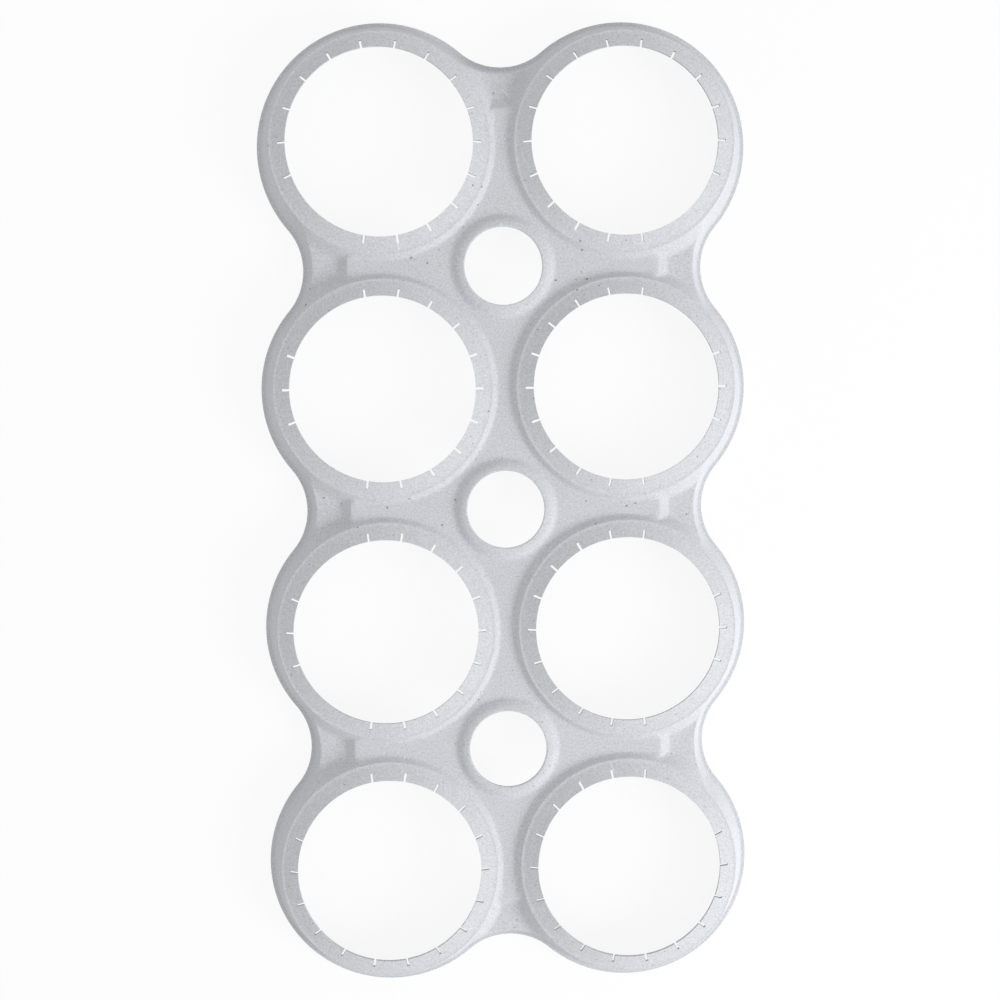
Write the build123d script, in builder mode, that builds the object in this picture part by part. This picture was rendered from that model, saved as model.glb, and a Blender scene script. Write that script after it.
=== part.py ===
"""Top carrier for drink cans, pressed in one piece from bagasse pulp.

A thin shell with one hollow cap for each can. The opening of a cap is ringed by sloping
tabs, parted by slits, that snap under the rim of the can. Below them a drafted skirt hugs
the shoulder of the can. The caps rise from a web that is pierced by raised finger holes on
the centre line. Wherever the outline dips between two caps, the web narrows to a channel
with gentle banks and steps down to a ledge. The skirt ends in a narrow trimmed lip, on
which the carrier stands.

Millimetres, +Z up. The origin is on the resting plane, in the middle of the carrier.
X runs across the columns and Y along the rows.
"""

import math
import os

from build123d import *

# Layout of the caps
COLUMNS = 2
ROWS = 4
CAP_SPACING = 4.6
WALL = 1.0

# Tabs round the opening of a cap, their length measured on the plan
NECK_RADIUS = 26.0
TAB_LENGTH = 2.2
TAB_SLOPE = 20.0
TAB_COUNT = 18
SLIT_ANGLE = 1.3

# Shoulder of a cap, from the fold of the tabs to the top of the skirt
SHOULDER_WIDTH = 3.6
SHOULDER_SLOPE = 15.0

# Skirt and lip
SKIRT_DRAFT = 14.0
NOTCH_RADIUS = 17.8
LIP_WIDTH = 0.7
LIP_THICKNESS = 1.0

# Web, channels with their banks, and ledges
WEB_HEIGHT = 9.0
CAP_RISE = 1.6
CHANNEL_WIDTH = 4.2
BANK_SLOPE = 30.0
LEDGE_DROP = 2.0
LEDGE_LENGTH = 10.2
STEP_RUN = 2.8

# Finger holes and the raised boss round each
FINGER_RADIUS = 10.9
CROWN_WIDTH = 2.4
CROWN_SLOPE = 12.0
BOSS_RISE = 1.8
BOSS_SLOPE = 45.0

# Room that a cutting shape runs past the faces it cuts
CUT_CLEARANCE = 1.0


def slope(angle):
    """Rise for each millimetre outwards at an angle from the horizontal, in degrees."""
    return math.tan(math.radians(angle))


fold_radius = NECK_RADIUS + TAB_LENGTH
shoulder_radius = fold_radius + SHOULDER_WIDTH
ledge_height = WEB_HEIGHT - LEDGE_DROP
shoulder_height = WEB_HEIGHT + CAP_RISE
fold_height = shoulder_height + SHOULDER_WIDTH * slope(SHOULDER_SLOPE)
tip_height = fold_height + TAB_LENGTH * slope(TAB_SLOPE)
foot_radius = shoulder_radius + shoulder_height * slope(SKIRT_DRAFT)
lip_radius = foot_radius + LIP_WIDTH
pitch = 2 * shoulder_radius + CAP_SPACING
half_length_x = (COLUMNS - 1) * pitch / 2
half_length_y = (ROWS - 1) * pitch / 2
notch_centre = math.sqrt((lip_radius + NOTCH_RADIUS) ** 2 - (pitch / 2) ** 2)
step_reach = notch_centre - NOTCH_RADIUS - LEDGE_LENGTH


def skirt_radius(height):
    """Radius of the outer face of the skirt about the axis of a can."""
    return foot_radius - height * slope(SKIRT_DRAFT)


def perimeter_cans():
    """Axes of the cans along the outline, counter-clockwise from the first row on the right."""
    right = [(half_length_x, row * pitch - half_length_y) for row in range(ROWS)]
    top = [(half_length_x - column * pitch, half_length_y) for column in range(1, COLUMNS - 1)]
    left = [(-x, -y) for x, y in right]
    bottom = [(-x, -y) for x, y in top]
    return [Vector(*axis) for axis in right + top + left + bottom]


def scalloped_outline(inset):
    """The outline of the lip set in: an arc round each can, a hollow arc between neighbours."""
    cans = perimeter_cans()
    radius = lip_radius - inset
    notch_radius = NOTCH_RADIUS + inset
    notches = []
    for can, following in zip(cans, cans[1:] + cans[:1]):
        outward = (following - can).normalized().rotate(Axis.Z, -90)
        notches.append((can + following) / 2 + outward * notch_centre)
    for index, can in enumerate(cans):
        notch = notches[index]
        following = cans[(index + 1) % len(cans)]
        before = (notches[index - 1] - can).normalized()
        after = (notch - can).normalized()
        outward = (before + after).normalized()
        inward = ((can + following) / 2 - notch).normalized()
        far_end = following + (notch - following).normalized() * radius
        ThreePointArc(can + before * radius, can + outward * radius, can + after * radius)
        ThreePointArc(can + after * radius, notch + inward * notch_radius, far_end)


def skirt_block(foot, depth):
    """The block on the scalloped outline, from its foot up to the ledge, set in by the depth."""
    inset = lip_radius - skirt_radius(foot) + depth / math.cos(math.radians(SKIRT_DRAFT))
    with BuildPart() as block:
        with BuildSketch(Plane.XY.offset(foot)):
            with BuildLine():
                scalloped_outline(inset)
            make_face()
        extrude(amount=ledge_height - depth - foot, taper=SKIRT_DRAFT)
    return block.part


def cap_block(depth):
    """A solid cap about its own axis, set in by the depth, its base sunk below the ledge."""
    base_height = ledge_height - WALL - 2 * depth
    with BuildPart() as block:
        with BuildSketch(Plane.XZ):
            with BuildLine():
                Polyline(
                    (0, base_height),
                    (skirt_radius(base_height), base_height),
                    (shoulder_radius, shoulder_height),
                    (fold_radius, fold_height),
                    (NECK_RADIUS, tip_height),
                    (0, tip_height),
                    close=True,
                )
            make_face()
            if depth:
                offset(amount=-depth, kind=Kind.INTERSECTION)
        revolve(axis=Axis.Z)
    return block.part


def channel_cutters(depth):
    """The straight channels between the banks, down to the web, grown by the depth."""
    top = shoulder_height + CUT_CLEARANCE
    half_floor = CHANNEL_WIDTH / 2
    half_top = half_floor + (top - WEB_HEIGHT) / slope(BANK_SLOPE)
    with BuildPart() as cutters:
        for plane, length, gaps in (
            (Plane.XZ, half_length_y, COLUMNS - 1),
            (Plane.YZ, half_length_x, ROWS - 1),
        ):
            with BuildSketch(plane):
                with GridLocations(pitch, pitch, gaps, 1):
                    Polygon(
                        (-half_floor, WEB_HEIGHT),
                        (half_floor, WEB_HEIGHT),
                        (half_top, top),
                        (-half_top, top),
                        align=None,
                    )
                if depth:
                    offset(amount=depth, kind=Kind.INTERSECTION)
            extrude(amount=length + step_reach + CUT_CLEARANCE, both=True)
    return cutters.part


def web_block(depth):
    """Web and banks, with a sloping step down to the ledges, set in by the depth."""
    step_angle = math.degrees(math.atan(LEDGE_DROP / STEP_RUN))
    reach = step_reach - depth * slope(step_angle / 2)
    channels = channel_cutters(depth)
    with BuildPart() as block:
        with BuildSketch(Plane.XY.offset(ledge_height - depth)):
            Rectangle(2 * (half_length_x + reach), 2 * (half_length_y + reach))
        extrude(amount=LEDGE_DROP + CAP_RISE, taper=90 - step_angle)
        with BuildSketch(Plane.XY.offset(WEB_HEIGHT - depth)):
            Rectangle(2 * half_length_x, 2 * half_length_y)
        extrude(amount=CAP_RISE + CUT_CLEARANCE, mode=Mode.SUBTRACT)
        add(channels, mode=Mode.SUBTRACT)
    return block.part


def boss_block(depth):
    """A solid boss about the axis of a finger hole, set in by the depth."""
    crown_height = WEB_HEIGHT + BOSS_RISE
    brow_radius = FINGER_RADIUS + CROWN_WIDTH
    brow_height = crown_height - CROWN_WIDTH * slope(CROWN_SLOPE)
    base_height = WEB_HEIGHT - 3 * WALL
    base_radius = brow_radius + (brow_height - base_height) / slope(BOSS_SLOPE)
    with BuildPart() as block:
        with BuildSketch(Plane.XZ):
            with BuildLine():
                Polyline(
                    (0, base_height),
                    (base_radius, base_height),
                    (brow_radius, brow_height),
                    (FINGER_RADIUS, crown_height),
                    (0, crown_height),
                    close=True,
                )
            make_face()
            if depth:
                offset(amount=-depth, kind=Kind.INTERSECTION)
        revolve(axis=Axis.Z)
    return block.part


def slit_cutter():
    """A wedge about the axis of a cap, its sides radial, that parts one tab from the next."""
    with BuildPart() as cutter:
        with BuildSketch(Plane.XZ.rotated((0, 0, -SLIT_ANGLE / 2))):
            with Locations((fold_radius, fold_height)):
                Rectangle(
                    TAB_LENGTH + CUT_CLEARANCE,
                    2 * (tip_height - fold_height + 2 * WALL),
                    rotation=-(TAB_SLOPE + SHOULDER_SLOPE) / 2,
                    align=(Align.MAX, Align.CENTER),
                )
        revolve(axis=Axis.Z, revolution_arc=SLIT_ANGLE)
    return cutter.part


def pressed_form(depth):
    """The outer face of the carrier as a solid, with every face set in by the depth."""
    foot = -CUT_CLEARANCE if depth else 0
    cap = cap_block(depth)
    boss = boss_block(depth)
    with BuildPart() as form:
        add(skirt_block(foot, depth))
        add(web_block(depth))
        with GridLocations(pitch, pitch, COLUMNS, ROWS):
            add(cap)
        with GridLocations(pitch, pitch, COLUMNS - 1, ROWS - 1):
            add(boss)
    return form.part


# The carrier: lip and outer form, hollowed from below, then pierced
outside = pressed_form(0)
inside = pressed_form(WALL)
slit = slit_cutter()

with BuildPart() as can_carrier:
    with BuildSketch():
        with BuildLine():
            scalloped_outline(0)
        make_face()
    extrude(amount=LIP_THICKNESS)
    add(outside)
    add(inside, mode=Mode.SUBTRACT)
    with GridLocations(pitch, pitch, COLUMNS, ROWS):
        Cylinder(NECK_RADIUS, 3 * tip_height, mode=Mode.SUBTRACT)
        with PolarLocations(0, TAB_COUNT):
            add(slit, mode=Mode.SUBTRACT)
    with GridLocations(pitch, pitch, COLUMNS - 1, ROWS - 1):
        Cylinder(FINGER_RADIUS, 3 * tip_height, mode=Mode.SUBTRACT)

can_carrier.part.label = "can_carrier"
os.makedirs("parts", exist_ok=True)
export_step(can_carrier.part, "parts/can_carrier.step")
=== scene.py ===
"""A drink can carrier pressed from bagasse pulp, dressed for a studio picture.

The carrier is one thin shell, worked out in numpy as sections that stand round the axis of
each cap, and given its wall. Lengths are in metres and +Z is up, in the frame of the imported
model.
"""

import math
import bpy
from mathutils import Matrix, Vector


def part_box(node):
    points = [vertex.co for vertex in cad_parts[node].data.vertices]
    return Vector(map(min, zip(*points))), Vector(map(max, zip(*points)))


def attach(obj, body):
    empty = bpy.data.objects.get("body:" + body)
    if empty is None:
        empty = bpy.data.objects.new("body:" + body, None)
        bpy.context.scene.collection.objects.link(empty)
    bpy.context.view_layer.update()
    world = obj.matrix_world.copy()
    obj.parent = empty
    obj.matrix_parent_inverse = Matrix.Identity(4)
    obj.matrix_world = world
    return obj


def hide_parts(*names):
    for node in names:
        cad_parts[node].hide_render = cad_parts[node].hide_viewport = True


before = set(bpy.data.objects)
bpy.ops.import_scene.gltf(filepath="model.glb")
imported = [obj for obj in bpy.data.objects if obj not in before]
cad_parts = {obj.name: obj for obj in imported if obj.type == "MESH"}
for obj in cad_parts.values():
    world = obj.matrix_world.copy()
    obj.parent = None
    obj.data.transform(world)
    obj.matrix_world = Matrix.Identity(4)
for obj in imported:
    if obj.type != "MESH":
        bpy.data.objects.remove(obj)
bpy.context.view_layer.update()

from types import SimpleNamespace

import bpy
import numpy as np
from bpy.props import FloatProperty, FloatVectorProperty, IntProperty, PointerProperty
from mathutils.bvhtree import BVHTree

bl_info = {
    "name": "Pulp can carrier",
    "version": (1, 0, 0),
    "blender": (4, 5, 0),
    "location": "3D View > Sidebar > Can carrier",
    "description": "Builds a pressed pulp carrier for drink cans and the studio round it",
    "category": "Add Mesh",
}

CAD_NODE = "can_carrier"
NODE_LOW, NODE_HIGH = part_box(CAD_NODE)


# Sizes and colours


def length(name, description, default):
    """A property that holds a length in metres."""
    return FloatProperty(
        name=name, description=description, default=default, min=0.0, precision=5,
        unit="LENGTH", subtype="DISTANCE",
    )


def angle(name, description, degrees):
    """A property that holds an angle, written here in degrees."""
    return FloatProperty(
        name=name, description=description, default=math.radians(degrees),
        min=0.0, max=math.radians(89.0), subtype="ANGLE",
    )


class CarrierSizes(bpy.types.PropertyGroup):
    """Sizes of the pressed shell."""

    cap_pitch: length("Cap pitch", "Distance between the axes of two cans", 0.0682)
    wall: length("Wall", "Thickness of the pressed pulp", 0.001)
    tip_height: length("Tip height", "Height of the tab tips above the table", NODE_HIGH.z)
    neck_radius: length("Neck radius", "Radius of the opening between the tab tips", 0.026)
    tab_length: length("Tab length", "Length of a slit, measured on the plan", 0.0022)
    tab_count: IntProperty(name="Tabs", description="Tabs round one opening", default=18, min=4)
    slit_angle: angle("Slit angle", "Angle that one slit takes at the axis of the can", 1.3)
    collar_radius: length("Collar radius", "Outer radius of the sloping collar", 0.0302)
    collar_slope: angle("Collar slope", "Slope of the tabs and the collar", 22.5)
    shoulder_radius: length("Shoulder radius", "Radius of the top edge of the skirt", 0.0308)
    shoulder_height: length("Shoulder height", "Height of the top edge of the skirt", 0.0106)
    skirt_draft: angle("Skirt draft", "Lean of the skirt from the vertical", 18.0)
    rise_slope: angle("Rise slope", "Slope of the rise from the web to a shoulder", 50.0)
    lip_width: length("Lip width", "Width of the flat lip round the foot", 0.0008)
    lip_thickness: length("Lip thickness", "Thickness of the lip", 0.001)
    notch_radius: length("Notch radius", "Radius of the hollow arcs of the outline", 0.0178)
    web_height: length("Web height", "Height of the web between the caps", 0.009)
    channel_width: length("Channel width", "Width of the floor between two banks", 0.0042)
    bank_slope: angle("Bank slope", "Slope of the banks beside a channel", 30.0)
    ledge_drop: length("Ledge drop", "Step down from the web to a ledge", 0.002)
    ledge_length: length("Ledge length", "Length of a ledge, from its step to the lip", 0.0102)
    step_run: length("Step run", "Length of the sloping step on the plan", 0.0028)
    finger_radius: length("Finger hole radius", "Radius of a finger hole", 0.0109)
    crown_width: length("Crown width", "Width of the crown round a finger hole", 0.0021)
    crown_slope: angle("Crown slope", "Slope of the crown", 14.0)
    boss_rise: length("Boss rise", "Height of a finger hole's edge above the web", 0.0018)
    boss_slope: angle("Boss slope", "Slope of the flank of a boss", 42.0)
    fold_rounding: length("Fold rounding", "Half the length over which a fold is rounded", 0.0003)
    cove_radius: length("Cove radius", "Radius of the hollow fold at the foot of a cap", 0.0002)
    brow_rounding: length("Brow rounding", "Half the width over which a boss is rounded", 0.0009)
    step_rounding: length("Step rounding", "Half the width over which steps and banks are rounded", 0.0003)
    edge_rounding: length("Edge rounding", "Radius of the upper edge of a finger hole", 0.0003)


def colour(name, description, default):
    """A property that holds a colour."""
    return FloatVectorProperty(
        name=name, description=description, default=default, size=3, min=0.0, max=1.0,
        subtype="COLOR",
    )


def portion(name, description, default):
    """A property that holds a number between nothing and one."""
    return FloatProperty(
        name=name, description=description, default=default, min=0.0, max=1.0, subtype="FACTOR",
    )


def position(name, description, default):
    """A property that holds a place in metres."""
    return FloatVectorProperty(
        name=name, description=description, default=default, size=3, precision=5,
        unit="LENGTH", subtype="TRANSLATION",
    )


def number(name, description, default):
    """A property that holds a plain number that isn't below nothing."""
    return FloatProperty(name=name, description=description, default=default, min=0.0)


class PulpLook(bpy.types.PropertyGroup):
    """Colour and surface of the pulp."""

    colour: colour("Colour", "Colour of the pulp", (0.600, 0.615, 0.645))
    speck_colour: colour("Speck colour", "Colour of the specks and flecks", (0.06, 0.055, 0.05))
    speck_strength: portion("Speck strength", "How far a speck hides the pulp", 0.8)
    fleck_strength: portion("Fleck strength", "How far the darkest fleck hides the pulp", 0.6)
    crease_paleness: number("Crease paleness", "How much paler a crease is than the pulp", 0.2)
    crease_ridge: number("Crease ridge", "Height of a crease, in heights of the grain", 2.0)
    cloud_scale: number("Cloud scale", "Clouds of shade to a metre", 90.0)
    grain_scale: number("Grain scale", "Grains to a metre", 1900.0)
    fleck_scale: number("Fleck scale", "Places for a fleck to a metre", 480.0)
    grain_depth: length("Grain depth", "Depth of the grain", 0.00006)
    roughness: portion("Roughness", "Roughness of the pulp", 0.82)


class StageSettings(bpy.types.PropertyGroup):
    """Floor, lamps and camera."""

    floor_size: length("Floor size", "Side of the square floor", 6.0)
    floor_drop: length("Floor drop", "How far the floor lies below the lip", 0.00005)
    floor_colour: colour("Floor colour", "Colour of the floor", (0.90, 0.90, 0.90))
    floor_whiteness: portion("Floor whiteness", "How far the floor is seen as white", 0.88)
    key_power: FloatProperty(
        name="Key lamp", description="Power of the soft lamp at the right", default=5.8,
        min=0.0, unit="POWER", subtype="POWER",
    )
    key_size: length("Key size", "Diameter of the soft lamp", 0.5)
    key_place: position("Key place", "Where the soft lamp hangs", (0.75, -0.36, 0.45))
    room_light: number("Room light", "Strength of the even light of the room", 0.70)
    focal_length: number("Focal length", "Focal length of the camera, in millimetres", 54.0)
    camera_place: position("Camera place", "Where the camera stands", (-0.012774, 0.026264, 0.431948))
    camera_turn: FloatVectorProperty(
        name="Camera turn", description="How the camera is turned", subtype="EULER", size=3,
        default=(math.radians(-3.1833), math.radians(-1.5473), math.radians(-0.6161)),
    )


# The pressed shell


# Rows of a section on its tab, from there to its last turn, and from the turn to the edge
TAB_ROWS = 4
BODY_ROWS = 21
EDGE_ROWS = 14
# Sections on one tab, and the smallest angles between a turn's section and those beside it
TAB_SECTIONS = 9
SLIT_GAP = math.radians(0.1)
TURN_GAP = math.radians(0.9)
# Readings along a section, and the length that a bend of one radian counts for in spacing rows
SAMPLES = 900
CORNER_WEIGHT = 0.0022
# How far a section is read past the tab tip and past the edge
TIP_OVERRUN = 0.0015
EDGE_OVERRUN = 0.0018
# Where a section turns on the plan: inside the shoulder, and inside the edge of the lip
SHOULDER_INSET = 0.0003
SKIRT_RING = 0.0032
# Points closer than this are one, and a length or an angle below this counts as nothing
WELD = 1e-7
NOTHING = 1e-9
# Folds sharper than this are drawn sharp
SHARP_FOLD = math.radians(42.0)


def carrier_sizes(settings):
    """The sizes of the settings, and those that follow from them."""
    s = SimpleNamespace(**{name: getattr(settings, name) for name in settings.__annotations__})
    span_x, span_y = NODE_HIGH.x - NODE_LOW.x, NODE_HIGH.y - NODE_LOW.y
    s.half_pitch = s.cap_pitch / 2
    draft = math.tan(s.skirt_draft)
    s.foot_radius = s.shoulder_radius + s.shoulder_height * draft
    s.lip_radius = s.foot_radius + s.lip_width
    s.columns = round((span_x - 2 * s.lip_radius) / s.cap_pitch) + 1
    s.rows = round((span_y - 2 * s.lip_radius) / s.cap_pitch) + 1
    s.fold_radius = s.neck_radius + s.tab_length
    s.collar_height = s.tip_height - (s.collar_radius - s.neck_radius) * math.tan(s.collar_slope)
    s.land_slope = (s.collar_height - s.shoulder_height) / (s.shoulder_radius - s.collar_radius)
    s.ledge_height = s.web_height - s.ledge_drop
    s.notch_centre = math.sqrt((s.lip_radius + s.notch_radius) ** 2 - s.half_pitch**2)
    s.tangent_angle = math.atan2(s.notch_centre, s.half_pitch)
    s.step_foot = s.notch_centre - s.notch_radius - s.ledge_length
    s.step_top = s.step_foot - s.step_run
    s.brow_radius = s.finger_radius + s.crown_width
    s.brow_height = s.web_height + s.boss_rise - s.crown_width * math.tan(s.crown_slope)
    flank = (s.brow_height - s.web_height) / math.tan(s.boss_slope)
    s.boss_ring = s.brow_radius + flank + s.brow_rounding
    s.turn_radius = s.shoulder_radius - SHOULDER_INSET
    s.path_start = s.neck_radius - TIP_OVERRUN
    return s


def soft_ramp(distance, rounding):
    """Nothing before zero and the distance after it, joined by a parabola of that half width."""
    bend = (distance + rounding) ** 2 / (4 * rounding)
    return np.where(distance > rounding, distance, np.where(distance < -rounding, 0.0, bend))


def pressed_height(s, cell, x, y, sign_x, sign_y):
    """Height of the outer face over the points of one cell of the plan, with sharp folds.

    Cap, web and boss each give a height, and the highest one counts. A cap is the higher of
    its collar and its land, and below its rise. The web drops to a ledge by the step, has a
    bank each side of a channel, and turns up to a cap in a cove, a quarter of a circle that is
    twice as large on a ledge. A boss is the lower of its side and its crown. The skirt is the
    height that grows inwards from the lip by the cotangent of its draft, and it limits the
    rest. A point past the border to the next cap is mirrored back over it.
    """
    near_x = np.where(sign_x > 0, cell.right, cell.left)
    near_y = np.where(sign_y > 0, cell.up, cell.down)
    across = (x - cell.x) * sign_x
    along = (y - cell.y) * sign_y
    across = np.where(near_x, s.half_pitch - np.abs(s.half_pitch - across), across)
    along = np.where(near_y, s.half_pitch - np.abs(s.half_pitch - along), along)
    radius = np.hypot(across, along)

    collar = s.tip_height - (radius - s.neck_radius) * math.tan(s.collar_slope)
    land = s.shoulder_height + (s.shoulder_radius - radius) * s.land_slope
    rise = s.shoulder_height + (s.shoulder_radius - radius) * math.tan(s.rise_slope)
    cap = np.minimum(np.maximum(collar, land), rise)

    inside = np.minimum(
        (s.columns - 1) * s.half_pitch + s.step_foot - np.abs(x),
        (s.rows - 1) * s.half_pitch + s.step_foot - np.abs(y),
    )
    forward = np.where(near_x, across, along)
    outward = np.where(near_x, along, across)
    bank = soft_ramp(s.half_pitch - forward - s.channel_width / 2, s.step_rounding)
    bank = np.minimum(bank * math.tan(s.bank_slope), s.shoulder_height - s.web_height)
    bank = np.where(near_x ^ near_y, bank, 0.0)
    step_slope = s.ledge_drop / s.step_run
    step = soft_ramp(inside, s.step_rounding) * step_slope
    top = s.ledge_drop + bank
    web = s.ledge_height + step - soft_ramp(step - top, s.step_rounding * step_slope)
    cove_radius = s.cove_radius * (1 + (s.web_height - web) / s.ledge_drop)
    from_foot = radius - s.shoulder_radius - (s.shoulder_height - web) / math.tan(s.rise_slope)
    share = 1 - np.clip(from_foot / cove_radius, 0.0, 1.0)
    cove = web + cove_radius * (1 - np.sqrt(1 - share**2))

    hole = np.hypot(s.half_pitch - across, s.half_pitch - along)
    crown = s.web_height + s.boss_rise + (s.finger_radius - hole) * math.tan(s.crown_slope)
    side = s.brow_height + (s.brow_radius - hole) * math.tan(s.boss_slope)
    bend = s.brow_rounding * (math.tan(s.boss_slope) - math.tan(s.crown_slope))
    boss = side - soft_ramp(side - crown, bend)
    over = 1 - np.clip((hole - s.finger_radius) / s.edge_rounding, 0.0, 1.0)
    boss = boss - s.edge_rounding * (1 - np.sqrt(1 - over**2))
    boss = np.where(near_x & near_y, web + soft_ramp(boss - web, bend), 0.0)

    notch = np.hypot(s.half_pitch - forward, s.notch_centre - outward) - s.notch_radius
    in_notch = (near_x ^ near_y) & (np.arctan2(outward, forward) < s.tangent_angle)
    inset = np.where(in_notch, notch, s.lip_radius - radius)
    skirt = np.maximum(s.lip_thickness, (inset - s.lip_width) / math.tan(s.skirt_draft))
    skirt = np.where(near_x & near_y, math.inf, skirt)
    return np.minimum(np.maximum(np.maximum(cove, cap), boss), skirt)


def cell_angles(s, cell):
    """Angles of the sections of one cell: even ones in each tab, and one at each turn."""
    tab = 2 * math.pi / s.tab_count
    even = np.linspace(s.slit_angle / 2, tab - s.slit_angle / 2, TAB_SECTIONS)
    edges = (np.arange(s.tab_count)[:, None] * tab + even[[0, -1]]).ravel()
    angles = (np.arange(s.tab_count)[:, None] * tab + even[1:-1]).ravel()
    turns = []
    sides = ((cell.right, cell.up), (cell.left, cell.up), (cell.left, cell.down), (cell.right, cell.down))
    for quarter, (near_x, near_y) in enumerate(sides):
        if near_x and near_y:
            turn = math.atan2(s.half_pitch - s.boss_ring, s.half_pitch)
            local = np.array([turn, math.pi / 2 - turn])
        elif near_x or near_y:
            folds = np.array([s.step_top, s.step_foot])[:, None]
            folds = folds + s.step_rounding * np.array([-1, 0, 1])
            local = np.arcsin(folds.ravel() / s.turn_radius)
            local = np.append(local, [notch_corner(s), s.tangent_angle])
            if not near_x:
                local = math.pi / 2 - local
        else:
            continue
        mirrored = quarter % 2 == 1
        turns.append(quarter * math.pi / 2 + (math.pi / 2 - local if mirrored else local))
    turns = np.concatenate(turns)
    turns = turns[np.abs(turns[:, None] - edges).min(1) > SLIT_GAP]
    angles = angles[np.abs(angles[:, None] - turns).min(1) > TURN_GAP]
    return np.sort(np.concatenate((edges, turns, angles)))


def notch_corner(s):
    """Angle at which the ring inside the notch meets the border to the next cap."""
    return math.atan2(s.notch_centre - s.notch_radius - SKIRT_RING, s.half_pitch)


def ray_to_ring(ray, centre, radius):
    """Where rays from the origin first meet a ring: the nearer root of the quadratic."""
    reach = ray @ centre
    distance = reach - np.sqrt(reach**2 - centre @ centre + radius**2)
    return ray * distance[:, None]


def section_paths(s, cell, angles):
    """Corners on the plan of the path that each section follows, seen from the cap's axis.

    A section runs out from the axis to the shoulder, then straight to a ring that lies inside
    the edge it ends on, and across that ring square to the edge: the edge of a finger hole,
    of a notch or of the round lip. A section towards the next cap ends on the border to it.
    """
    sign_x, sign_y = np.sign(np.cos(angles)), np.sign(np.sin(angles))
    near_x = np.where(sign_x > 0, cell.right, cell.left)
    near_y = np.where(sign_y > 0, cell.up, cell.down)
    angle_x = np.arctan2(np.abs(np.sin(angles)), np.abs(np.cos(angles)))
    swap = np.where(near_x & near_y, angle_x > math.pi / 4, near_y)
    turn = np.where(swap, math.pi / 2 - angle_x, angle_x)
    ray = np.stack((np.cos(turn), np.sin(turn)), 1)
    shoulder = ray * s.turn_radius

    ring = ray * (s.lip_radius - SKIRT_RING)
    edge = ray * s.lip_radius

    hole = near_x & near_y
    finger = np.array((s.half_pitch, s.half_pitch))
    border = np.stack((np.full_like(turn, s.half_pitch), s.half_pitch * np.tan(turn)), 1)
    hole_turn = math.atan2(s.half_pitch - s.boss_ring, s.half_pitch)
    to_border = hole & (turn < hole_turn - NOTHING)
    to_hole = hole & ~to_border
    ring[to_border] = edge[to_border] = border[to_border]
    ring[to_hole] = ray_to_ring(ray[to_hole], finger, s.boss_ring)
    edge[to_hole] = finger + (ring[to_hole] - finger) * s.finger_radius / s.boss_ring

    notched = near_x ^ near_y
    corner = notch_corner(s)
    last_side = s.step_foot + s.fold_rounding
    straight = math.asin(last_side / s.turn_radius)
    fan = np.interp(turn, (straight, corner), (last_side, s.half_pitch * math.tan(corner)))
    side = np.where(turn < straight, s.turn_radius * np.sin(turn), fan)
    to_border = notched & (turn < corner - NOTHING)
    across = np.stack((np.full_like(side, s.half_pitch), side), 1)
    ring[to_border] = edge[to_border] = across[to_border]
    to_notch = notched & (turn >= corner - NOTHING) & (turn < s.tangent_angle)
    notch = np.array((s.half_pitch, s.notch_centre))
    ring_radius = s.notch_radius + SKIRT_RING
    ring[to_notch] = ray_to_ring(ray[to_notch], notch, ring_radius)
    edge[to_notch] = notch + (ring[to_notch] - notch) * s.notch_radius / ring_radius

    corners = np.stack((ray * s.path_start, shoulder, ring, edge), 1)
    corners = np.where(swap[:, None, None], corners[:, :, ::-1], corners)
    return corners * np.stack((sign_x, sign_y), 1)[:, None, :], sign_x[:, None], sign_y[:, None]


def plan_points(cell, corners, travel):
    """Points of the plan after each distance travelled along a path with straight legs.

    The last leg goes on past its end. A path whose last leg has no length goes on along the
    leg before it.
    """
    legs = np.diff(corners, axis=1)
    lengths = np.linalg.norm(legs, axis=2)
    headings = legs / np.maximum(lengths, NOTHING)[:, :, None]
    headings[:, 2] = np.where(lengths[:, 2:] < NOTHING, headings[:, 1], headings[:, 2])
    lengths[:, 2] = math.inf
    points = np.broadcast_to(corners[:, :1], travel.shape + (2,)).copy()
    for leg in range(3):
        part = np.clip(travel, 0.0, lengths[:, leg : leg + 1])
        points += part[:, :, None] * headings[:, leg][:, None, :]
        travel = travel - lengths[:, leg : leg + 1]
    return cell.x + points[:, :, 0], cell.y + points[:, :, 1]


def read_rows(places, known, values):
    """Each row of values read at its own places: the rows are laid end to end for one reading."""
    places = np.clip(places, known[:, :1], known[:, -1:])
    lift = np.arange(len(known))[:, None] * (known.max() * 2 + 1.0)
    readings = np.interp((places + lift).ravel(), (known + lift).ravel(), values.ravel())
    return readings.reshape(places.shape)


def running_total(values, steps):
    """Integral of each row by the trapezium rule, from nothing at its start."""
    parts = (values[:, 1:] + values[:, :-1]) / 2 * steps
    return np.pad(np.cumsum(parts, axis=1), ((0, 0), (1, 0)))


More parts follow.
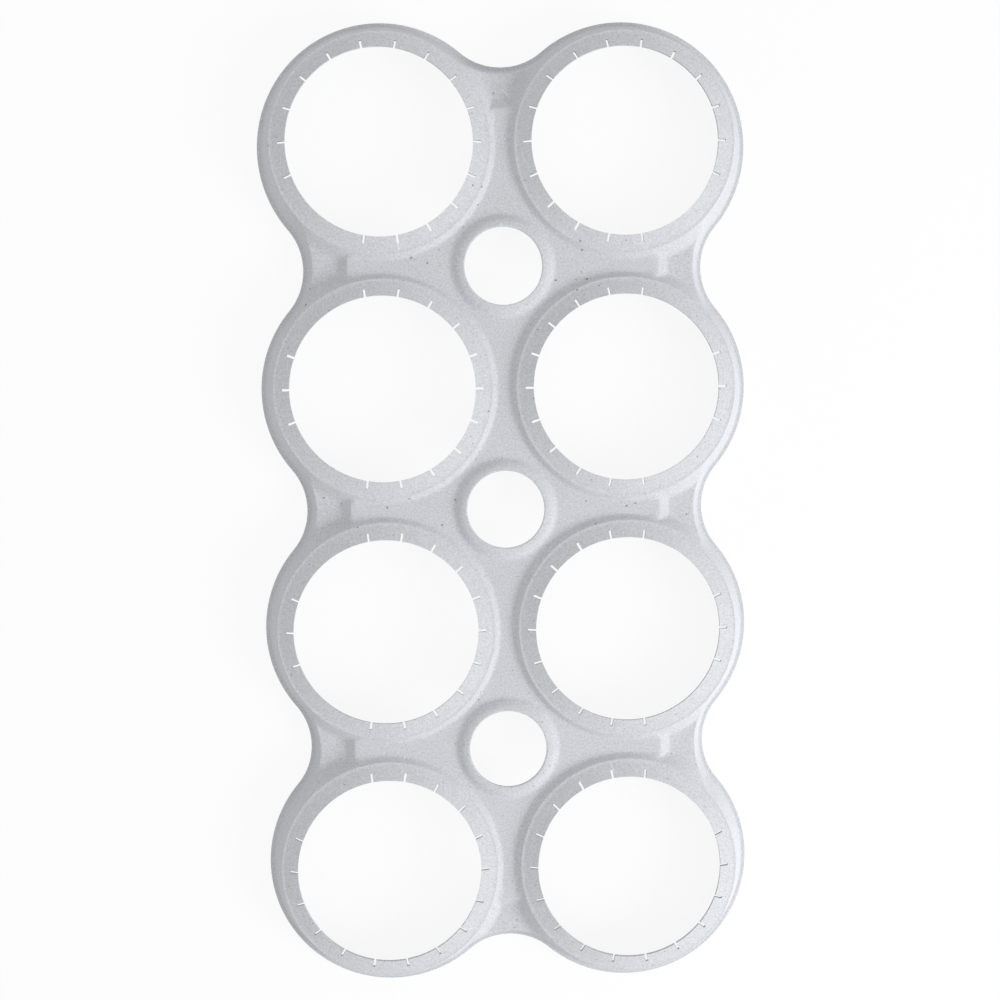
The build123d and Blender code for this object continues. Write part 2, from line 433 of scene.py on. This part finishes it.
def cell_surface(s, cell):
    """Grid of points of one cell's outer face, and which of its four-sided faces are there.

    Each section is the pressed height along its path. Its folds are rounded by taking the mean
    of the section over a short length each way. Its rows then stand closer where it bends.
    The slits have no faces, and a section that ends on the border has none past its ring.
    """
    angles = cell_angles(s, cell)
    corners, sign_x, sign_y = section_paths(s, cell, angles)
    legs = np.linalg.norm(np.diff(corners, axis=1), axis=2)
    whole = legs.sum(1)[:, None]
    fold = np.full_like(whole, s.fold_radius - s.path_start)
    stops = np.hstack((fold, legs[:, :2].sum(1)[:, None], whole))
    travel = (whole + EDGE_OVERRUN) * np.linspace(0.0, 1.0, SAMPLES)
    x, y = plan_points(cell, corners, travel)
    height = pressed_height(s, cell, x, y, sign_x, sign_y)

    steps = np.hypot(np.diff(travel, axis=1), np.diff(height, axis=1))
    arc = np.pad(np.cumsum(steps, axis=1), ((0, 0), (1, 0)))
    travel_total, height_total = running_total(travel, steps), running_total(height, steps)
    reach = s.fold_rounding
    place = reach + (arc[:, -1:] - 2 * reach) * np.linspace(0.0, 1.0, SAMPLES)
    soft_travel, soft_height = (
        (read_rows(place + reach, arc, total) - read_rows(place - reach, arc, total)) / (2 * reach)
        for total in (travel_total, height_total)
    )
    heading = np.arctan2(np.diff(soft_height, axis=1), np.diff(soft_travel, axis=1))
    bend = np.pad(np.abs(np.diff(heading, axis=1)), ((0, 0), (1, 1)))
    weight = place + CORNER_WEIGHT * np.cumsum(bend, axis=1)
    marks = read_rows(stops, soft_travel, weight)
    step = np.append(np.arange(BODY_ROWS) / BODY_ROWS, 1.0 + np.arange(EDGE_ROWS + 1) / EDGE_ROWS)
    step = np.broadcast_to(step, (len(angles), step.size))
    rows = read_rows(step, np.broadcast_to(np.arange(3.0), marks.shape), marks)
    rows = read_rows(rows, weight, place)
    row_travel = read_rows(rows, place, soft_travel)
    row_height = read_rows(rows, place, soft_height)
    row_travel[:, [0, BODY_ROWS, -1]] = stops

    tab_radius = np.linspace(s.neck_radius, s.fold_radius, TAB_ROWS + 1)[:-1]
    tab_travel = np.broadcast_to(tab_radius - s.path_start, (len(angles), TAB_ROWS))
    tab_height = s.tip_height - (tab_travel + s.path_start - s.neck_radius) * math.tan(s.collar_slope)
    x, y = plan_points(cell, corners, np.hstack((tab_travel, row_travel)))
    grid = np.stack((x, y, np.hstack((tab_height, row_height))), 2)

    following = np.append(angles[1:], angles[0] + 2 * math.pi)
    slit = np.abs(following - angles - s.slit_angle) < NOTHING
    ends_on_edge = legs[:, 2] > NOTHING
    row = np.arange(grid.shape[1] - 1)
    shown = ~(slit[:, None] & (row < TAB_ROWS))
    shown &= (ends_on_edge & np.roll(ends_on_edge, -1))[:, None] | (row < TAB_ROWS + BODY_ROWS)
    return grid, shown


def shell_cells(s):
    """One cell for each cap, with its axis and on which sides it has a neighbour."""
    return [
        SimpleNamespace(
            x=(column - (s.columns - 1) / 2) * s.cap_pitch,
            y=(row - (s.rows - 1) / 2) * s.cap_pitch,
            left=column > 0, right=column < s.columns - 1, down=row > 0, up=row < s.rows - 1,
        )
        for column in range(s.columns)
        for row in range(s.rows)
    ]


def grid_faces(grid, shown):
    """The four-sided faces of a cell that are shown, each counter-clockwise from above."""
    sections, rows = grid.shape[:2]
    index = np.arange(sections * rows).reshape(sections, rows)
    following = np.roll(index, -1, axis=0)
    faces = np.stack((index[:, :-1], index[:, 1:], following[:, 1:], following[:, :-1]), 2)
    return faces[shown]


def weld(points, faces):
    """Points that share a place become one, and the faces are told."""
    places = np.round(points / WELD).astype(np.int64)
    _, first, inverse = np.unique(places, axis=0, return_index=True, return_inverse=True)
    return points[first], inverse.ravel()[faces]


def point_normals(points, faces):
    """Normals of the points, each the sum of the normals of its faces weighted by area."""
    corner = points[faces]
    facing = np.cross(corner[:, 2] - corner[:, 0], corner[:, 3] - corner[:, 1])
    normals = np.zeros_like(points)
    for side in range(4):
        np.add.at(normals, faces[:, side], facing)
    return normals / np.linalg.norm(normals, axis=1)[:, None]


def open_edges(faces):
    """Edges that only one face has, in the direction in which it goes round them."""
    edges = np.stack((faces, np.roll(faces, -1, axis=1)), 2).reshape(-1, 2)
    pairs = np.sort(edges, axis=1)
    _, inverse, count = np.unique(pairs, axis=0, return_inverse=True, return_counts=True)
    return edges[count[inverse.ravel()] == 1]


def give_wall(s, points, faces):
    """A closed shell: the outer face, the same face one wall below it, and the cut edges.

    A point goes inwards along its normal by the wall. On a cut edge it goes straight down
    instead, by the wall over the upward part of its normal.
    """
    normals = point_normals(points, faces)
    rim = open_edges(faces)
    cut = np.unique(rim)
    inward = normals * s.wall
    inward[cut] = np.array((0.0, 0.0, s.wall)) / normals[cut, 2:3]
    lower = faces[:, ::-1] + len(points)
    edge = np.stack((rim[:, 1], rim[:, 0], rim[:, 0] + len(points), rim[:, 1] + len(points)), 1)
    return np.vstack((points, points - inward)), np.vstack((faces, lower, edge))


def add_mesh(name, points, faces, material):
    """A smooth mesh object at the origin from arrays of points and four-sided faces."""
    mesh = bpy.data.meshes.new(name)
    mesh.vertices.add(len(points))
    mesh.vertices.foreach_set("co", points.astype(np.float32).ravel())
    mesh.loops.add(faces.size)
    mesh.loops.foreach_set("vertex_index", faces.astype(np.int32).ravel())
    mesh.polygons.add(len(faces))
    mesh.polygons.foreach_set("loop_start", np.arange(0, faces.size, 4, dtype=np.int32))
    mesh.update(calc_edges=True)
    if mesh.validate():
        raise RuntimeError(f"the mesh of {name} has faces that can't be drawn")
    mesh.shade_smooth()
    mesh.set_sharp_from_angle(angle=SHARP_FOLD)
    mesh.materials.append(material)
    piece = bpy.data.objects.new(name, mesh)
    bpy.context.scene.collection.objects.link(piece)
    return piece


# Materials


# Creases of the pulp: both ends on the plan, and the width
CREASES = (
    ((-0.0295, -0.0701), (-0.0304, -0.0742), 0.00035),
    ((0.0290, -0.0726), (0.0298, -0.0750), 0.00035),
    ((-0.0298, 0.0751), (-0.0290, 0.0729), 0.00035),
    ((-0.0051, -0.0347), (-0.0047, -0.0348), 0.00030),
    ((-0.0007, 0.0801), (-0.0007, 0.0792), 0.00040),
    ((0.0007, 0.1172), (0.0020, 0.1154), 0.00050),
)
# Dark specks of the pulp: the place on the plan, and the width
SPECKS = (
    ((-0.0554, 0.0579), 0.00060), ((0.0221, 0.0725), 0.00045), ((0.0234, 0.0644), 0.00045),
    ((0.0215, 0.0748), 0.00040), ((-0.0258, 0.0707), 0.00045), ((-0.0213, 0.0692), 0.00040),
    ((0.0147, 0.0641), 0.00040), ((0.0205, 0.0613), 0.00040), ((-0.0083, 0.0903), 0.00040),
    ((-0.0514, 0.0037), 0.00040), ((-0.0335, 0.0008), 0.00040), ((-0.0272, 0.0033), 0.00040),
    ((-0.0143, 0.0028), 0.00036), ((-0.0181, -0.0043), 0.00042), ((-0.0418, -0.0045), 0.00036),
    ((0.0342, 0.0005), 0.00042), ((0.0253, -0.0044), 0.00042), ((0.0367, 0.0012), 0.00034),
    ((0.0515, -0.0022), 0.00034), ((-0.0058, 0.0900), 0.00038), ((-0.0023, 0.1164), 0.00036),
    ((-0.0046, 0.0276), 0.00034), ((0.0093, 0.0503), 0.00034),
)
# From the start of a speck to its end, because a speck is a little longer than it is wide
SPECK_REACH = (0.0001, 0.00005)
# The part of the range of a noise that is used, and the shades that its ends stand for
NOISE_RANGE = (0.3, 0.7)
CLOUD_SHADES = (0.985, 1.015)
GRAIN_SHADES = (0.80, 1.19)
# Distances over which a fleck fades, in cells, and the random values over which flecks darken
FLECK_FADE = (0.05, 0.16)
FLECK_CHOICE = (0.5, 0.9)
# Places of the colour sockets of a Mix node, which has others of the same names
MIX_FIRST, MIX_SECOND, MIX_RESULT = 6, 7, 2


def pulp_marks(points, faces):
    """The creases and the specks, each a start and an end on the outer face, and a width.

    An end is where a line that goes straight down through its place on the plan meets the face.
    A mark with no pulp at one of its ends is left out.
    """
    surface = BVHTree.FromPolygons(points.tolist(), faces.tolist())

    def lifted(place):
        return surface.ray_cast((*place, 2 * NODE_HIGH.z), (0.0, 0.0, -1.0))[0]

    def on_pulp(marks):
        marks = [(lifted(start), lifted(end), width) for start, end, width in marks]
        return [mark for mark in marks if None not in mark]

    specks = [((x, y), (x + SPECK_REACH[0], y + SPECK_REACH[1]), width) for (x, y), width in SPECKS]
    return SimpleNamespace(creases=on_pulp(CREASES), specks=on_pulp(specks))


def new_material(name):
    """A new node material, with its node tree and its Principled shader."""
    material = bpy.data.materials.new(name)
    material.use_nodes = True
    tree = material.node_tree
    return material, tree, tree.nodes["Principled BSDF"]


def add_node(tree, kind, sources=(), **settings):
    """A node of a kind, with its settings. Each source is linked to its input or set on it."""
    node = tree.nodes.new(kind)
    for name, value in settings.items():
        setattr(node, name, value)
    for name, source in dict(sources).items():
        if isinstance(source, bpy.types.NodeSocket):
            tree.links.new(source, node.inputs[name])
        else:
            node.inputs[name].default_value = source
    return node


def sum_of(tree, operation, *sources, clamp=False):
    """The result of a sum on numbers."""
    settings = {"operation": operation, "use_clamp": clamp}
    return add_node(tree, "ShaderNodeMath", enumerate(sources), **settings).outputs["Value"]


def vector_sum(tree, operation, first, second):
    """The result of a sum on vectors, a number for a dot product or a distance."""
    sources = {0: first, "Scale" if operation == "SCALE" else 1: second}
    node = add_node(tree, "ShaderNodeVectorMath", sources, operation=operation)
    return node.outputs["Value" if operation in ("DOT_PRODUCT", "DISTANCE") else "Vector"]


def spread(tree, source, known, wanted, **settings):
    """The source with the range it is known in spread over the range that is wanted."""
    sources = {
        "Value": source, "From Min": known[0], "From Max": known[1],
        "To Min": wanted[0], "To Max": wanted[1],
    }
    return add_node(tree, "ShaderNodeMapRange", sources, **settings).outputs["Result"]


def mark_group():
    """A group that tells how near a place is to a line: one on it, nothing past its width.

    The nearest point of the line lies at a share of its way, which is the dot product of the
    line and the way to the place over the squared length of the line, kept between 0 and 1.
    """
    tree = bpy.data.node_groups.new("mark", "ShaderNodeTree")
    for name, kind in (("Place", "Vector"), ("Start", "Vector"), ("End", "Vector"), ("Width", "Float")):
        tree.interface.new_socket(name, in_out="INPUT", socket_type=f"NodeSocket{kind}")
    tree.interface.new_socket("Mask", in_out="OUTPUT", socket_type="NodeSocketFloat")
    given = tree.nodes.new("NodeGroupInput").outputs
    line = vector_sum(tree, "SUBTRACT", given["End"], given["Start"])
    way = vector_sum(tree, "SUBTRACT", given["Place"], given["Start"])
    reach = vector_sum(tree, "DOT_PRODUCT", way, line)
    whole = vector_sum(tree, "DOT_PRODUCT", line, line)
    part = sum_of(tree, "DIVIDE", reach, whole, clamp=True)
    gap = vector_sum(tree, "DISTANCE", way, vector_sum(tree, "SCALE", line, part))
    mask = spread(tree, gap, (0.0, given["Width"]), (1.0, 0.0), interpolation_type="SMOOTHSTEP")
    add_node(tree, "NodeGroupOutput", {"Mask": mask})
    return tree


def marks_mask(tree, group, place, marks):
    """The strongest mask of some marks."""
    strongest = 0.0
    for start, end, width in marks:
        sources = {"Place": place, "Start": start, "End": end, "Width": width}
        mask = add_node(tree, "ShaderNodeGroup", sources, node_tree=group)
        strongest = sum_of(tree, "MAXIMUM", strongest, mask.outputs["Mask"])
    return strongest


def pulp_material(look, marks):
    """Pressed bagasse pulp: pale and matt, with a fine grain, dark flecks, specks and creases."""
    material, tree, shader = new_material("pulp")
    place = add_node(tree, "ShaderNodeTexCoord").outputs["Object"]

    cloud = {"Vector": place, "Scale": look.cloud_scale, "Detail": 3.0, "Roughness": 0.55}
    cloud = add_node(tree, "ShaderNodeTexNoise", cloud).outputs["Fac"]
    grain = {"Vector": place, "Scale": look.grain_scale, "Detail": 4.0, "Roughness": 0.75}
    grain = add_node(tree, "ShaderNodeTexNoise", grain).outputs["Fac"]
    shade = sum_of(
        tree, "MULTIPLY",
        spread(tree, cloud, NOISE_RANGE, CLOUD_SHADES),
        spread(tree, grain, NOISE_RANGE, GRAIN_SHADES),
    )

    cell = add_node(tree, "ShaderNodeTexVoronoi", {"Vector": place, "Scale": look.fleck_scale})
    near = spread(tree, cell.outputs["Distance"], FLECK_FADE, (1.0, 0.0))
    chosen = spread(tree, cell.outputs["Color"], FLECK_CHOICE, (0.0, look.fleck_strength))
    fleck = sum_of(tree, "MULTIPLY", near, chosen)

    group = mark_group()
    crease = marks_mask(tree, group, place, marks.creases)
    speck = marks_mask(tree, group, place, marks.specks)
    dark = sum_of(tree, "MAXIMUM", sum_of(tree, "MULTIPLY", speck, look.speck_strength), fleck)

    pale = spread(tree, crease, (0.0, 1.0), (1.0, 1.0 + look.crease_paleness))
    shade = sum_of(tree, "MULTIPLY", shade, pale)
    tint = vector_sum(tree, "SCALE", tuple(look.colour), shade)
    sources = {"Factor": dark, MIX_FIRST: tint, MIX_SECOND: (*look.speck_colour, 1.0)}
    spotted = add_node(tree, "ShaderNodeMix", sources, data_type="RGBA")
    tree.links.new(spotted.outputs[MIX_RESULT], shader.inputs["Base Color"])

    height = sum_of(tree, "MULTIPLY_ADD", crease, look.crease_ridge, grain)
    bump = {"Strength": 0.35, "Distance": look.grain_depth, "Height": height}
    bump = add_node(tree, "ShaderNodeBump", bump)
    tree.links.new(bump.outputs["Normal"], shader.inputs["Normal"])
    shader.inputs["Roughness"].default_value = look.roughness
    shader.inputs["Specular IOR Level"].default_value = 0.3
    return material


def seen_by_camera(tree):
    """One for what the camera sees, also in a reflection or through glass, else nothing."""
    path = add_node(tree, "ShaderNodeLightPath").outputs
    straight_or_glossy = sum_of(tree, "MAXIMUM", path["Is Camera Ray"], path["Is Glossy Ray"])
    return sum_of(tree, "MAXIMUM", straight_or_glossy, path["Is Transmission Ray"])


def floor_material(settings):
    """A plain pale floor that is seen as white, with a part of the object's shadow left on it."""
    material, tree, shader = new_material("floor")
    shader.inputs["Base Color"].default_value = (*settings.floor_colour, 1.0)
    shader.inputs["Roughness"].default_value = 0.9
    shader.inputs["Specular IOR Level"].default_value = 0.1
    white = add_node(tree, "ShaderNodeEmission", {"Color": (1.0, 1.0, 1.0, 1.0), "Strength": 1.0})
    sources = {
        "Fac": sum_of(tree, "MULTIPLY", seen_by_camera(tree), settings.floor_whiteness),
        1: shader.outputs["BSDF"],
        2: white.outputs["Emission"],
    }
    seen = add_node(tree, "ShaderNodeMixShader", sources)
    tree.links.new(seen.outputs["Shader"], tree.nodes["Material Output"].inputs["Surface"])
    return material


# Operators, panel and registration


class CARRIER_OT_press_shell(bpy.types.Operator):
    """Build the pressed pulp shell of the carrier"""

    bl_idname = "carrier.press_shell"
    bl_label = "Press the shell"

    def execute(self, context):
        s = carrier_sizes(context.scene.carrier_sizes)
        points, faces, start = [], [], 0
        for cell in shell_cells(s):
            grid, shown = cell_surface(s, cell)
            points.append(grid.reshape(-1, 3))
            faces.append(grid_faces(grid, shown) + start)
            start += len(points[-1])
        points, faces = weld(np.vstack(points), np.vstack(faces))
        material = pulp_material(context.scene.pulp_look, pulp_marks(points, faces))
        points, faces = give_wall(s, points, faces)
        shell = add_mesh("pulp_shell", points, faces, material)
        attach(shell, "root")
        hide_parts(CAD_NODE)
        return {"FINISHED"}


class CARRIER_OT_set_stage(bpy.types.Operator):
    """Set the floor, the light and the camera round the carrier"""

    bl_idname = "carrier.set_stage"
    bl_label = "Set the stage"

    def execute(self, context):
        scene = context.scene
        settings = scene.stage_settings
        half = settings.floor_size / 2
        corners = np.array([(-half, -half), (half, -half), (half, half), (-half, half)])
        points = np.column_stack((corners, np.full(4, -settings.floor_drop)))
        floor = add_mesh("floor", points, np.array([[0, 1, 2, 3]]), floor_material(settings))

        light = bpy.data.lights.new("key_lamp", "AREA")
        light.shape = "DISK"
        light.size = settings.key_size
        light.energy = settings.key_power
        lamp = bpy.data.objects.new("key_lamp", light)
        lamp.location = settings.key_place
        direction = -lamp.location
        lamp.rotation_euler = direction.to_track_quat("-Z", "Y").to_euler()
        scene.collection.objects.link(lamp)

        world = bpy.data.worlds.new("room")
        world.use_nodes = True
        tree = world.node_tree
        background = tree.nodes["Background"]
        background.inputs["Color"].default_value = (1.0, 1.0, 1.0, 1.0)
        strength = spread(tree, seen_by_camera(tree), (0.0, 1.0), (settings.room_light, 1.0))
        tree.links.new(strength, background.inputs["Strength"])
        scene.world = world

        lens = bpy.data.cameras.new("camera")
        lens.lens = settings.focal_length
        lens.sensor_width = 36.0
        lens.clip_start, lens.clip_end = 0.01, 20.0
        camera = bpy.data.objects.new("camera", lens)
        camera.location = settings.camera_place
        camera.rotation_euler = settings.camera_turn
        scene.collection.objects.link(camera)
        scene.camera = camera
        scene.view_settings.view_transform = "Standard"
        return {"FINISHED"}


class CARRIER_PT_panel(bpy.types.Panel):
    """Lists the pieces of the carrier and the stage"""

    bl_idname = "CARRIER_PT_panel"
    bl_label = "Can carrier"
    bl_space_type = "VIEW_3D"
    bl_region_type = "UI"
    bl_category = "Can carrier"

    def draw(self, context):
        layout = self.layout
        for group, operator in (
            (context.scene.carrier_sizes, CARRIER_OT_press_shell),
            (context.scene.pulp_look, None),
            (context.scene.stage_settings, CARRIER_OT_set_stage),
        ):
            column = layout.column(align=True)
            for name in group.__annotations__:
                column.prop(group, name)
            if operator:
                layout.operator(operator.bl_idname)


CLASSES = (
    CarrierSizes,
    PulpLook,
    StageSettings,
    CARRIER_OT_press_shell,
    CARRIER_OT_set_stage,
    CARRIER_PT_panel,
)


def register():
    """Make the classes and the settings known to Blender."""
    for cls in CLASSES:
        bpy.utils.register_class(cls)
    bpy.types.Scene.carrier_sizes = PointerProperty(type=CarrierSizes)
    bpy.types.Scene.pulp_look = PointerProperty(type=PulpLook)
    bpy.types.Scene.stage_settings = PointerProperty(type=StageSettings)


def unregister():
    """Take the settings and the classes out of Blender again."""
    del bpy.types.Scene.stage_settings
    del bpy.types.Scene.pulp_look
    del bpy.types.Scene.carrier_sizes
    for cls in reversed(CLASSES):
        bpy.utils.unregister_class(cls)


def main():
    """Build the carrier and its stage."""
    register()
    bpy.ops.carrier.press_shell()
    bpy.ops.carrier.set_stage()


if __name__ == "__main__":
    main()
